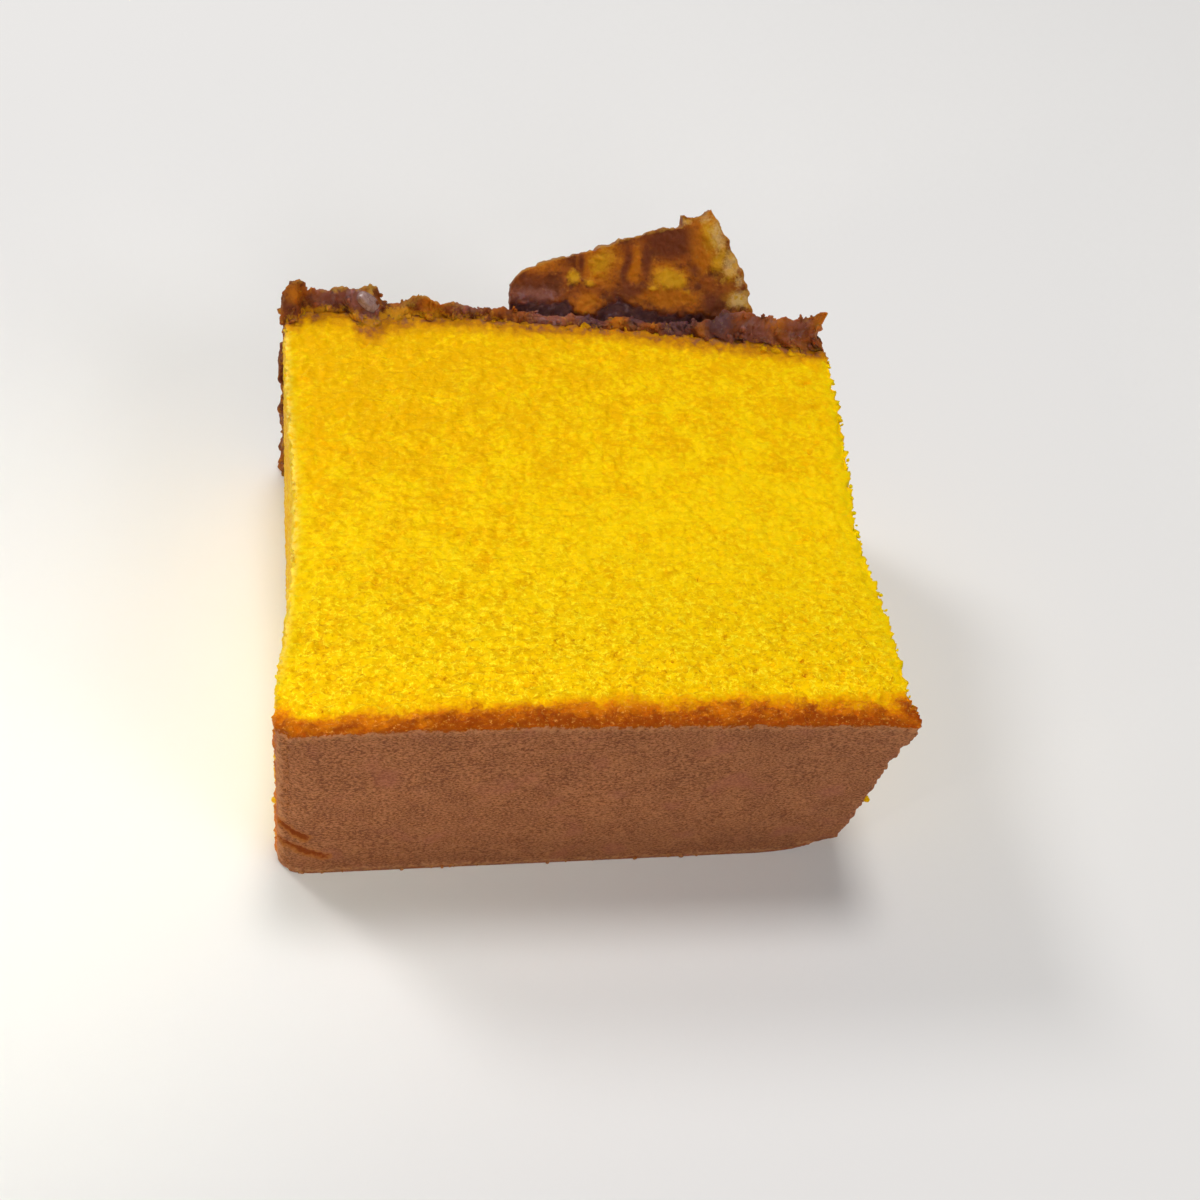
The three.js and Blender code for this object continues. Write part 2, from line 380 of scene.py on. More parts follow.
class Relief(Wiring):
    """A geometry tree that starts from a piece's mesh, with named sizes."""

    def __init__(self, name, sizes):
        super().__init__(bpy.data.node_groups.new(name, "GeometryNodeTree"))
        sockets = self.tree.interface
        sockets.new_socket("Geometry", in_out="INPUT", socket_type="NodeSocketGeometry")
        for size in sizes:
            sockets.new_socket(size, in_out="INPUT", socket_type="NodeSocketFloat")
        sockets.new_socket("Geometry", in_out="OUTPUT", socket_type="NodeSocketGeometry")
        self.sizes = sizes
        self.given = self.tree.nodes.new("NodeGroupInput").outputs
        self.place = self.add("GeometryNodeInputPosition")
        self.out = self.add("GeometryNodeInputNormal")

    def read(self, name):
        return self.add("GeometryNodeInputNamedAttribute", {"Name": name}, data_type="FLOAT")

    def store(self, geometry, name, value):
        inputs = {"Geometry": geometry, "Name": name, "Value": value}
        kind = {"data_type": "FLOAT", "domain": "POINT"}
        return self.add("GeometryNodeStoreNamedAttribute", inputs, **kind)

    def total(self, heights):
        """The sum of heights, each times the size that it is listed under."""
        return self.plus(*(self.times(high, self.given[name]) for name, high in heights.items()))

    def ball(self):
        return self.add("GeometryNodeMeshIcoSphere", {"Radius": 1, "Subdivisions": 2}, "Mesh")

    def random(self, low, high, seed):
        """Three random numbers for each point."""
        inputs = {0: low, 1: high, "Seed": seed}
        return self.add("FunctionNodeRandomValue", inputs, data_type="FLOAT_VECTOR")

    def any_turn(self, seed):
        return self.random((0, 0, 0), (6.28, 6.28, 6.28), seed)

    def copies(self, points, shape, turn, scale):
        """A copy of a shape on every point."""
        inputs = {"Points": points, "Instance": shape, "Rotation": turn, "Scale": scale}
        return self.add("GeometryNodeInstanceOnPoints", inputs)

    def push(self, geometry, height):
        """Moves the surface out by a height, but never below the table."""
        moved = self.vector("ADD", self.place, self.vector("SCALE", self.out, height))
        x, y, z = self.parts(moved)
        above = self.add("ShaderNodeCombineXYZ", {0: x, 1: y, 2: self.math("MAXIMUM", z, 0)})
        return self.add("GeometryNodeSetPosition", {"Geometry": geometry, "Position": above})

    def finish(self, geometry, material):
        whole = self.add("GeometryNodeRealizeInstances", {0: geometry})
        painted = self.add("GeometryNodeSetMaterial", {"Geometry": whole, "Material": material})
        end = self.tree.nodes.new("NodeGroupOutput")
        self.tree.links.new(painted, end.inputs[0])


def grow(piece, relief):
    """Puts a geometry tree on a piece, with its named sizes."""
    modifier = piece.modifiers.new(relief.tree.name, "NODES")
    modifier.node_group = relief.tree
    for item in relief.tree.interface.items_tree:
        if item.in_out == "INPUT" and item.name in relief.sizes:
            modifier[item.identifier] = float(relief.sizes[item.name])


def settle(piece):
    """Turns what the modifiers make into the piece's own plain mesh."""
    ready = bpy.context.evaluated_depsgraph_get()
    shaped = piece.evaluated_get(ready)
    made = bpy.data.meshes.new_from_object(shaped, preserve_all_data_layers=True, depsgraph=ready)
    piece.modifiers.clear()
    piece.data = made
    print(piece.name, "faces:", len(made.polygons), "triangles:", len(made.loop_triangles))


def shade_smooth(piece, flat_foot=False):
    """Smooth shading. With flat_foot, faces that look straight down stay flat."""
    faces = piece.data.polygons
    faces.foreach_set("use_smooth", [not flat_foot or face.normal.z > -0.9 for face in faces])


def mount(piece):
    """The last steps for each piece: into the scene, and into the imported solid's place."""
    into_scene(piece)
    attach(piece, "root")
    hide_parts(NODE)


# %% [markdown]
# ## The finish of the crumb and the top skin
#
# The crumb is a foam of egg and sugar: light goes a millimetre or two into it and comes out
# warmer, so it gets subsurface light. Its yellow is very clean, a little deeper towards the
# bottom of the loaf. Painted shade puts amber into its holes, pores and creases and darkens it a
# little to the left, and painted highlights stand for glints on the cut bubble walls and a pale
# glint along the far left edge. Under the top skin the crumb is stained orange-brown, with painted
# glints in the stain, and the skin itself is a dry, suede-like brown.
# One material carries all of it, because the change from skin to crumb has no seam. It reads how
# far each point lies from the skin's edge, which the mesh stores: above zero on the crumb, below
# zero on the skin.

# %% Colours
YELLOW_LIGHT = (0.93, 0.625, 0.001)
YELLOW_DEEP = (0.84, 0.46, 0)
# painted shade: amber for pits, dents, pores and creases
PIT_SHADE_AMBER = (0.5, 0.15, 0)
SYRUP_TONES = [
    (0.15, 0.65, 0.9, (0.66, 0.31, 0.003)),
    (0.6, 1, 0.7, (0.38, 0.11, 0.006)),
    (0.95, 1.2, 0.8, (0.22, 0.07, 0.045)),
]  # each starts and is full at these amounts of syrup, with this strength: ochre, brown, plum
# painted highlights: glints on cut walls, and the pale glint along the far left edge
GLINT = (1, 0.86, 0.03)
EDGE_PALE_HIGHLIGHT = (0.96, 0.78, 0.22)
EDGE_LEMON = (0.78, 0.58, 0.001)
BAND_AMBER = (0.8, 0.4, 0)
BAND_ORANGE = (0.6, 0.165, 0.003)
BAND_RED = (0.29, 0.046, 0.003)
# painted highlight: glints in the stain under the skin
BAND_GLINT = (0.85, 0.42, 0.08)
SKIN_BROWN = (0.52, 0.195, 0.08)
SKIN_DARK = (0.185, 0.058, 0.027)
SKIN_TAN = (0.6, 0.26, 0.11)
SKIN_ROSE = (0.42, 0.128, 0.08)
GOUGE_ORANGE = (0.41, 0.125, 0.025)
GOUGE_RED = (0.21, 0.032, 0.007)


class Finish(Wiring):
    """A material with one Principled shader."""

    def __init__(self, name):
        self.material = bpy.data.materials.new(name)
        self.material.use_nodes = True
        super().__init__(self.material.node_tree)
        self.shader = self.tree.nodes["Principled BSDF"]
        coordinates = self.add("ShaderNodeTexCoord", output="Object")
        self.place = self.vector("SCALE", coordinates, 1 / MM)
        self.across, _, self.up = self.parts(self.place)

    def read(self, name):
        return self.add("ShaderNodeAttribute", output="Fac", attribute_name=name)

    def set(self, **values):
        for name, value in values.items():
            socket = self.shader.inputs[name.replace("_", " ")]
            if isinstance(value, bpy.types.NodeSocket):
                self.tree.links.new(value, socket)
            else:
                socket.default_value = value

    def bump(self, height, depth, strength):
        inputs = {"Height": height, "Distance": depth * MM, "Strength": strength}
        return self.add("ShaderNodeBump", inputs)


# %% Crumb material


def crumb_colour(f, from_skin):
    """Clean yellow in soft clumps, with painted shade: amber in pits, dents, pores and creases.

    Painted highlights stand for glints on cut bubble walls, and a painted highlight pales the far
    left edge. The slice's edges are more lemon, syrup stains the back, and painted shade makes the
    yellow a little darker to the left and lighter to the right.
    """
    torn = f.drifted(f.stretched((0.8, 1, 1)), 0.9, 0.6)
    # dents, crease and pores are painted marks: their amber is painted shade in hollows finer than
    # the mesh
    dents = f.bubbles(torn, 0.7, 0.15, 0.5, 0.6)
    crease = f.fade(f.cells(torn, 0.8), 0.36, 0.68)
    crease = f.times(crease, f.fade(f.noise(2), 0.35, 0.65, 0.4, 1))
    flecks = f.noise(0.55, 4, 0.65, at=torn)
    cloud = f.plus(f.times(f.noise(3.2), 0.45), f.times(flecks, 0.55))
    lower = f.fade(from_skin, 2, 56, 0.11, -0.07)
    # painted shade: the yellow is a little darker to the left and lighter to the right, for how
    # light falls across the cut face
    tone = f.plus(cloud, f.plus(lower, f.fade(f.across, -33, 20, -0.05, 0.03)))
    colour = f.paint(f.fade(tone, 0.38, 0.58), YELLOW_DEEP, YELLOW_LIGHT)
    rough = f.fade(from_skin, 4, 34, 1.4, 0.5)
    pores = f.fade(f.noise(0.28, 3, 0.6, at=torn), 0.45, 0.36)
    pores = f.times(pores, f.fade(flecks, 0.56, 0.44))
    walls = f.noise(0.8, 3, 0.6, at=torn)
    # painted shade: a thin amber line beside each glint line, as if the cut walls were lit from
    # behind
    shade = f.fade(f.math("ABSOLUTE", f.plus(walls, -0.4)), 0.05, 0.01)
    pit = f.read("pit")
    # holes gathers painted shade: the relief's pits, the painted dents, creases and pores, and
    # shade lines
    holes = f.plus(f.times(pit, 0.5), f.fade(pit, 0.35, 0.6))
    for mark, strength in ((dents, 0.4), (crease, 0.2), (pores, 0.3), (shade, 0.18)):
        holes = f.plus(holes, f.times(mark, strength))
    colour = f.paint(f.math("MINIMUM", f.times(holes, rough), 1), colour, PIT_SHADE_AMBER)
    # painted highlight: thin glints on the cut bubble walls, fewer towards the back
    glints = f.fade(f.math("ABSOLUTE", f.plus(walls, -0.5)), 0.035, 0.01)
    fewer = f.fade(from_skin, 2, 34, 0.9, 0.25)
    glints = f.times(glints, f.fade(flecks, 0.44, 0.56), fewer)
    colour = f.paint(glints, colour, GLINT)
    edge = f.times(f.read("edge"), f.fade(from_skin, 3, 9))
    lemon = f.times(f.math("POWER", edge, 0.2), f.fade(flecks, 0.35, 0.6, 0.35, 0.85))
    colour = f.paint(lemon, colour, EDGE_LEMON)
    # painted highlight: a pale glint along the far left top edge, where it catches the light
    pale = f.times(f.math("POWER", edge, 1.4), f.fade(f.across, -29, -31))
    colour = f.paint(f.times(pale, f.fade(flecks, 0.35, 0.6, 0, 0.6)), colour, EDGE_PALE_HIGHLIGHT)
    syrup = f.plus(f.read("syrup"), f.times(f.waver(1, 4, 0.6), 1.4))
    for start, end, strength, paint in SYRUP_TONES:
        colour = f.paint(f.times(f.fade(syrup, start, end), strength), colour, paint)
    return colour, cloud


def band_colour(f, from_skin, crumb):
    """The stain under the top skin: red-brown, orange, then amber, gone after 3 to 5 mm, with
    painted glints.
    """
    drawn = f.stretched((0.7, 1, 1))
    frayed = f.times(f.noise(1.6, 5, 0.65, at=drawn), 3.6)
    frayed = f.plus(frayed, f.times(f.noise(0.35), 1.6), -2.6)
    wider = f.fade(f.across, -30, 10, -0.5, 0.9)
    reach = f.plus(f.fade(f.noise(5, at=drawn), 0.3, 0.7, 2.8, 4), wider)
    loose = f.times(frayed, f.fade(from_skin, 0, 1.5, 0.5, 1))
    depth = f.math("DIVIDE", f.plus(from_skin, loose), reach)
    band = f.paint(f.fade(depth, 0.65, 1, 1, 0), crumb, BAND_AMBER)
    band = f.paint(f.fade(depth, 0.4, 0.8, 1, 0), band, BAND_ORANGE)
    patches = f.fade(f.noise(2, 5, 0.7, at=drawn), 0.3, 0.7, -0.15, 0.3)
    patches = f.plus(patches, f.fade(f.across, -33, -5, -0.16, 0))
    close = f.plus(depth, f.times(patches, -1))
    band = f.paint(f.fade(close, 0, 0.55, 1, 0), band, BAND_RED)
    # painted highlight: small glints in the stain
    band_glints = f.fade(f.noise(0.3, 4, 0.7, at=drawn), 0.54, 0.7)
    band = f.paint(f.times(band_glints, f.fade(depth, 0.9, 0.4), 0.6), band, BAND_GLINT)
    lip = f.plus(from_skin, f.times(frayed, 0.3))
    return f.paint(f.fade(lip, 0.4, -0.1, 0, 0.15), band, BAND_ORANGE)


def skin_colour(f, from_skin, grain):
    """Suede brown: fine grain, faint patches, rosy spots, a tan lip along the cut."""
    tone = f.plus(f.times(grain, 0.86), f.times(f.noise(3.5, 3), 0.14))
    tone = f.plus(tone, f.fade(f.across, -33, 0, -0.015, 0))
    skin = f.paint(f.fade(tone, 0.39, 0.61), SKIN_DARK, SKIN_BROWN)
    skin = f.paint(f.fade(f.noise(0.3), 0.62, 0.7, 0, 0.35), skin, SKIN_TAN)
    skin = f.paint(f.fade(f.noise(5, 1), 0.55, 0.75, 0, 0.4), skin, SKIN_ROSE)
    skin = f.paint(f.fade(f.up, 0, 14, 0.3, 0), skin, SKIN_DARK)
    fine = f.times(f.waver(0.6, 3), 1.6)
    skin = f.paint(f.fade(f.plus(from_skin, fine, fine), -1.3, -0.2, 0, 0.7), skin, SKIN_TAN)
    gouge = f.plus(f.read("gouge"), f.times(fine, 0.6))
    skin = f.paint(f.fade(gouge, 0.1, 0.6, 0, 0.75), skin, GOUGE_ORANGE)
    return f.paint(f.fade(gouge, 0.5, 0.85, 0, 0.9), skin, GOUGE_RED)


def sponge_finish():
    f = Finish("castella_sponge")
    from_skin = f.read("from_skin")
    grain = f.noise(0.2, 3, 0.7, at=f.stretched((0.6, 1, 1.1)))
    fray = f.times(f.noise(1.6, 3), 1.6)
    fray = f.plus(fray, f.times(f.noise(0.35, 3), 1.4), -1.3)
    on_skin = f.fade(f.plus(from_skin, fray), 0.05, -0.3)

    crumb, cloud = crumb_colour(f, from_skin)
    crumb = band_colour(f, from_skin, crumb)
    f.set(Base_Color=f.paint(on_skin, crumb, skin_colour(f, from_skin, grain)))
    f.set(Roughness=f.blend(on_skin, f.fade(cloud, 0.3, 0.7, 0.6, 0.38), 0.75))
    f.set(Specular_IOR_Level=0.22, Specular_Tint=(1, 0.7, 0.04, 1))
    f.shader.subsurface_method = "BURLEY"  # Burley subsurface light, quicker than a random walk
    f.set(Subsurface_Weight=f.blend(on_skin, 0.8, 0.25))
    f.set(Subsurface_Radius=(1, 0.4, 0.05), Subsurface_Scale=0.6 * MM)
    f.set(Normal=f.bump(grain, 0.18, f.blend(on_skin, 0.5, 1)))
    return f.material


sponge = sponge_finish()
print("material:", sponge.name)

# %% [markdown]
# ## The crumb's relief
#
# A knife opens thousands of bubbles when it cuts a sponge. Most are smaller than a millimetre and
# shallow, a few are real holes. Cell noise gives each point its distance to the nearest bubble's
# middle and each bubble its own random size, so one geometry tree can press them all into the
# mesh. Near the skin the knife drags and leaves small ridges, and the slice's edges lose crumbs.

# %% Relief tree of the sponge
SPONGE_SIZES = {
    "Bubble size": 1.15, "Bubble depth": 0.32, "Hole depth": 0.8, "Grain": 0.4, "Clumps": 0.22,
    "Swell": 0.3, "Ridges": 0.4, "Edge loss": 0.6,
}


def sponge_relief():
    r = Relief("sponge_relief", SPONGE_SIZES)
    bubble = r.given["Bubble size"]
    from_skin = r.read("from_skin")
    on_crumb = r.fade(from_skin, -0.1, 1)
    warped = r.drifted(r.place, 1.1, 0.7)
    clumps = r.fade(r.cells(warped, 1.3), 0.2, 0.75, 0.3, -0.7)
    large = r.bubbles(warped, bubble, 0.18, 0.45, 0.6)
    small = r.bubbles(warped, r.times(bubble, 0.6), 0.2, 0.45, 0.45)
    pits = r.plus(large, r.times(small, 0.5))
    holes = r.bubbles(warped, r.times(bubble, 3.4), 0.07, 0.16, 0.5)
    swell = r.plus(r.noise(6), r.times(r.noise(2.2), 0.8), -0.9)
    grain = r.waver(0.55, 3, 0.6)
    dragged = r.stretched((0.55, 1, 1))
    crest = r.math("ABSOLUTE", r.waver(0.9, at=dragged))
    near_skin = r.fade(from_skin, 1, 14, 1, 0.35)
    ridges = r.times(r.fade(crest, 0, 0.12, 1, 0), near_skin)

    dents = {"Bubble depth": r.times(pits, -1), "Hole depth": r.times(holes, -1)}
    raised = {"Swell": swell, "Grain": grain, "Clumps": clumps, "Ridges": ridges}
    crumb_height = r.total({**raised, **dents})
    wrinkled = r.stretched((0.35, 1, 1.3))
    gouge_depth = r.fade(r.noise(0.8), 0.3, 0.7, -0.15, -0.5)
    skin_height = r.plus(
        r.times(r.waver(0.6, 3, 0.6), 0.09),
        r.times(r.waver(1, at=wrinkled), 0.14),
        r.times(r.waver(8), 0.35),
        r.times(r.fade(r.read("gouge"), 0.6, 1), gouge_depth),
    )
    worn = r.fade(r.noise(1, 4, 0.65), 0.3, 0.7, -0.45, 1)
    loss = r.times(worn, r.read("edge"), r.times(r.given["Edge loss"], -1))
    height = r.plus(r.blend(on_crumb, skin_height, crumb_height), loss)
    height = r.times(height, r.fade(r.parts(r.place)[2], 0.1, 1.8, 0.1, 1))

    # pit: how open each relief pit is, for the finish to paint amber in it as painted shade
    opened = r.times(r.math("MAXIMUM", r.times(pits, 0.4), holes), on_crumb)
    marked = r.store(r.given["Geometry"], "pit", opened)
    r.finish(r.push(marked, height), sponge)
    return r


sponge_tree = sponge_relief()
print("nodes in the sponge relief:", len(sponge_tree.tree.nodes))

# %% [markdown]
# ## The block of cake
#
# The whole block, crumb and top skin together, is one closed mesh: two solids that touch would
# stop light from passing between them. Its steps are a little over a quarter of a millimetre on
# the cut face, which is enough for the bubbles, and grow towards the table.
# Short diagonal gouges cross the skin at its lower left.

# %% Shape the block
BLOCK_STEPS = (236, 208, 72)
BLOCK_PLAIN = (4, 16)  # steps to a cell of its bottom, across and back
TABLE_STRETCH = 0.8  # below 1, steps grow towards the table
GOUGES = [
    ((0, 9.6), (2.8, 7.8)), ((0.2, 6), (2.2, 5.4)), ((2.2, 5.2), (5, 3.7)),
]  # (x, z) of their ends on the skin
GOUGE_REACH = 0.75
SKIN_WRAP = (1.6, 1)  # how far the top skin runs round the left and right upright edges
EDGE_REACH = 0.55
EDGE_CALM = 0.8  # edges beside the skin stay tidier, and so do those this near the table:
FOOT_CALM = 3.5
FOOT = [
    (0, 57.4), (1.8, 56.7), (2.6, 59), (3.6, 58.1), (5.1, 59.3), (7.6, 59.4), (8.4, 57.4),
    (9.6, 56.4), (11.2, 56.3), (12.4, 58), (13.4, 57.6), (14.4, 58.2), (16.2, 58.4),
    (19.8, 58.5), (25.8, 58), (33, 57.5), (38, 57.9), (42.9, 57.4), (50.3, 56.2), (57.8, 55.5),
    (66, 54.6),
]  # where the rim meets the cut face
SYRUP_REACH = [
    (0, 1.2), (4, 1.8), (6, 2.5), (9, 2.7), (12, 2.5), (14, 2.3), (17, 2), (24, 1.8), (30, 1.8),
    (40, 2), (48, 2.1), (56, 2), (62, 2), (66, 1.5),
]  # how far syrup has soaked into the crumb from there
SYRUP_START = 0.7


def distance_to_line(x, z, ends):
    (x0, z0), (x1, z1) = ends
    along = ((x - x0) * (x1 - x0) + (z - z0) * (z1 - z0)) / ((x1 - x0) ** 2 + (z1 - z0) ** 2)
    along = np.clip(along, 0, 1)
    return np.hypot(x - mix(x0, x1, along), z - mix(z0, z1, along))


def make_block():
    place, faces = box_lattice(BLOCK_STEPS, BLOCK_PLAIN)
    u, v, w = (place / np.array(BLOCK_STEPS)).T
    w = w**TABLE_STRETCH
    points = crumb_point(u, v, w)
    block = new_piece("sponge_block", points, faces)

    left, right = sides(v, w)
    from_left, from_right = u * (right - left), (1 - u) * (right - left)
    deep = v * back_line(u)
    up, down = w * cut_height(u, v), (1 - w) * cut_height(u, v)
    from_table_or_cut = np.minimum(up, down)
    from_walls = np.stack([np.minimum(from_left, from_right), deep, from_table_or_cut])
    from_edge = np.sort(from_walls, axis=0)[1]

    in_crumb, in_skin, wrapped = deep, from_table_or_cut, np.zeros(len(v), bool)
    for end, from_end, wrap in ((0, from_left, SKIN_WRAP[0]), (1, from_right, SKIN_WRAP[1])):
        past = deep - wrap
        in_crumb = np.minimum(in_crumb, np.hypot(from_end, np.maximum(past, 0)))
        in_skin = np.minimum(in_skin, from_end - past)
        wrapped = wrapped | ((u == end) & (past < 0))
    is_skin = (w < 1) & (wrapped | (v == 0))
    keep_values(block, "from_skin", np.where(is_skin, -in_skin, in_crumb))
    cut_edge = mix(0.3, np.where(deep < EDGE_CALM, 0.7, 1), np.clip(up / FOOT_CALM, 0, 1))
    keep_values(block, "edge", cut_edge * bell(from_edge, EDGE_REACH))
    x, y, z = points.T
    from_foot = np.maximum(profile(FOOT, x) - SYRUP_START - y, 0)
    soaked = bell(from_foot, profile(SYRUP_REACH, x))
    keep_values(block, "syrup", soaked * (deep > 0.5 * LOAF_HEIGHT))
    nearest = np.min([distance_to_line(x, z, ends) for ends in GOUGES], axis=0)
    keep_values(block, "gouge", bell(nearest, GOUGE_REACH) * (v < 0.02))
    return block


block = make_block()
grow(block, sponge_tree)
settle(block)
shade_smooth(block, flat_foot=True)
mount(block)

# %% [markdown]
# ## The finish of the torn skin
#
# The bottom of the loaf bakes to a caramel skin and soaks up syrup. Torn open it shows every tone
# from honey to plum: amber where it is thin, purple-brown where it is thick and wet, and yellow
# where crumb still clings to it. Noise alone would put these tones anywhere, so the mesh stores
# how much of each tone lies at each point, and noise only frays their borders. The syrup's shine is
# the surface's own soft gloss, tinted warm, and a lilac sheen on the plum is painted. A painted
# highlight runs along the torn upper edges, and painted shade darkens the gap under the flap and
# the rim where it lies in shadow.

# %% Caramel material
CARAMEL = (0.33, 0.082, 0.01)
CARAMEL_DARK = (0.15, 0.034, 0.01)
LILAC_SHEEN = (0.33, 0.19, 0.19)
STAINED_CRUMB = (0.62, 0.27, 0.006)
FRINGE_HIGHLIGHT = (0.42, 0.21, 0.03)
TONES = {
    "amber": (0.5, 0.15, 0.006),
    "vein": (0.165, 0.035, 0.013),
    "plum": (0.26, 0.088, 0.066),
    # painted shade: the dark of the gap under the flap and of the rim in the flap's shadow
    "painted_shade": (0.11, 0.042, 0.048),
    "crumb_left": (0.62, 0.31, 0.008),
    "pale": (0.72, 0.47, 0.17),
}


def caramel_finish():
    f = Finish("torn_caramel_skin")
    fine = f.times(f.waver(0.3, 2, 0.6), 0.6)
    fray = f.plus(f.times(f.waver(1.4, 4, 0.6), 0.8), fine)
    cloud = f.times(f.noise(2.4, 4, 0.6), 0.7)
    cloud = f.plus(cloud, f.times(f.noise(0.7, 3), 0.3))
    colour = f.paint(f.fade(cloud, 0.4, 0.6), CARAMEL_DARK, CARAMEL)
    for tone, paint in TONES.items():
        colour = f.paint(f.fade(f.plus(f.read(tone), fray), 0.15, 0.85), colour, paint)
    # painted sheen: lilac highlights on the wet plum skin, for gloss that reflects the bright room
    painted_sheen = f.times(f.read("plum"), f.fade(f.noise(1, 3), 0.52, 0.7), 0.7)
    colour = f.paint(painted_sheen, colour, LILAC_SHEEN)
    stain = f.fade(f.plus(f.read("stain"), fray, fray), 0.3, 0.9)
    colour = f.paint(f.times(stain, 0.9), colour, STAINED_CRUMB)
    gold = f.times(f.read("pale"), f.fade(f.noise(0.9, 4, 0.65), 0.46, 0.58), 0.9)
    colour = f.paint(gold, colour, TONES["crumb_left"])
    # painted highlight: a light fringe where light catches the torn upper edges
    fringe_highlight = f.times(f.fade(f.plus(f.read("fringe_highlight"), fray), 0.5, 0.9), 0.8)
    colour = f.paint(fringe_highlight, colour, FRINGE_HIGHLIGHT)
    f.set(Base_Color=colour, Roughness=f.fade(cloud, 0.3, 0.7, 0.42, 0.65))
    f.set(Specular_IOR_Level=0.22, Specular_Tint=(1, 0.72, 0.42, 1))
    f.set(Subsurface_Weight=0.6, Subsurface_Radius=(1, 0.4, 0.1), Subsurface_Scale=0.7 * MM)
    f.set(Normal=f.bump(f.noise(0.32, 4, 0.65), 0.16, 0.9))
    return f.material


caramel = caramel_finish()
print("material:", caramel.name)

# %% [markdown]
# ## The torn bottom skin
#
# This skin has no neat shape. It is a slab a millimetre or two thick with a ragged rim, to which
# lumps and flakes of every angle cling. A grid can't fold over itself like that, so one tree sets
# separate lumps on the slab's rim and back, half sunk in it. A second tree then tears slab and
# lumps alike in layers.

# %% Shape of the slab
RIM = [
    (0, 2.5), (0.4, 3.2), (1.9, 3.9), (2.5, 3.8), (2.8, 2.7), (3.1, 2.5), (3.4, 3.1), (3.8, 2.6),
    (5.3, 2.3), (6, 2.7), (7.6, 2.9), (8.8, 2.5), (11.2, 2.9), (11.7, 1.5), (12.9, 0.5), (14, 0.9),
    (15.3, 1.3), (15.7, 2.2), (17, 2.4), (18.2, 1.7), (19.8, 1.6), (22.9, 0.6), (24.4, 1.4),
    (25.3, 0.8), (26.6, 1.2), (31, 0.8), (35, 0.3), (38, 0.3), (42, 0.6), (46, 0.4), (50, 1.1),
    (54, 2.6), (56.5, 3.9), (58, 3.4), (60.5, 3), (62.6, 3.1), (63.8, 4.2), (64.8, 4.9),
    (65.5, 5.2), (65.8, 3), (66, 0.6),
]  # height of the rim above the cut face
SKIN_THICKNESS = 1.5
SKIN_RELIEF = 0.7
RELIEF_PITCH = 3.2
END_OVERHANG = 0.2
END_LUMPS = {"height": 0.4, "reach": 2.2, "levels": (1.2, 12.2, 18.8)}
RIM_EDGE = 0.7  # thickness of the rim's torn edge
RIM_TEETH = [(0.2, 0.8, 3), (0.15, 0.35, 0)]  # height, pitch and row of each kind of bump
FOOT_TEETH = [(0.4, 1.7, 9), (0.35, 0.7, 4)]
HORN_HOLLOW = 1.4  # the rim's right end draws in above the cut face
STAIN = [(0, 0.4), (4, 0.9), (14, 1), (20, 0.8), (28, 0.3), (54, 0.2), (60, 0.5), (66, 0.3)]
STAIN_REACH = 0.9
# painted highlight along the rim's torn upper edge: its strength along the rim
RIM_FRINGE_HIGHLIGHT = [
    (0, 0.6), (3, 0.8), (10.5, 0.9), (12, 0.5), (16, 0.9), (22, 0.5), (27, 0.1), (54, 0.1),
    (60, 0.5), (66, 0.6),
]
FRINGE_HIGHLIGHT_REACH = 0.35
RIM_LEAST = 0.2
SLAB_SINK = 0.6  # how far the slab reaches into the crumb
BELOW_CUT = 2.5  # the rim's shape fades out this far below the cut face
LUMP_SHARES = {"rim": 0.3, "back": 0.15}
SLAB_STEPS = (330, 6, 88)
SLAB_BEND = (0.7, 0.84)  # this share of its rows covers that share of its height


def slab_point(u, thickness, w):
    """A point of the torn skin's slab, from shares of its length, thickness and height."""
    along = u * LOAF_WIDTH
    rim = np.maximum(add_teeth(profile(RIM, along), along, RIM_TEETH), RIM_LEAST)
    round_top = 1 - 0.3 * (2 * thickness - 1) ** 2 * np.clip(rim, 0, 1)
    z = w * (cut_height(u, 1) + rim * round_top)
    lumps = [bell(z - level, END_LUMPS["reach"]) for level in END_LUMPS["levels"]]
    left = -END_OVERHANG - END_LUMPS["height"] * np.max(lumps, axis=0)
    above_cut = z - SLICE_THICKNESS
    hollow = HORN_HOLLOW * np.clip(above_cut / 0.8, 0, 1) * np.clip((5 - above_cut) / 2.4, 0, 1)
    right = sides(1, w)[1] - 0.2 - hollow
    relief = SKIN_RELIEF * bumps(along / RELIEF_PITCH, z / RELIEF_PITCH)
    outer = back_line(u) + SKIN_THICKNESS + relief
    foot = add_teeth(profile(FOOT, along), along, FOOT_TEETH)
    above = np.clip(above_cut / rim, 0, 1)
    below = np.clip((above_cut + BELOW_CUT) / BELOW_CUT, 0, 1)
    inner = mix(mix(back_line(u) - SLAB_SINK, foot, below), outer - RIM_EDGE, above**0.8)
    return np.stack([mix(left, right, u), mix(inner, outer, thickness), z], -1)


def make_slab():
    place, faces = box_lattice(SLAB_STEPS)
    u, v, w = (place / np.array(SLAB_STEPS)).T
    w = np.interp(w, (0, SLAB_BEND[0], 1), (0, SLAB_BEND[1], 1))
    slab = new_piece("torn_bottom_skin", slab_point(u, v, w), faces)
    at_rim = LUMP_SHARES["rim"] * np.clip((w - 0.86) / 0.1, 0, 1)
    keep_values(slab, "rim", np.where(v > 0.9, LUMP_SHARES["back"], at_rim))
    return slab


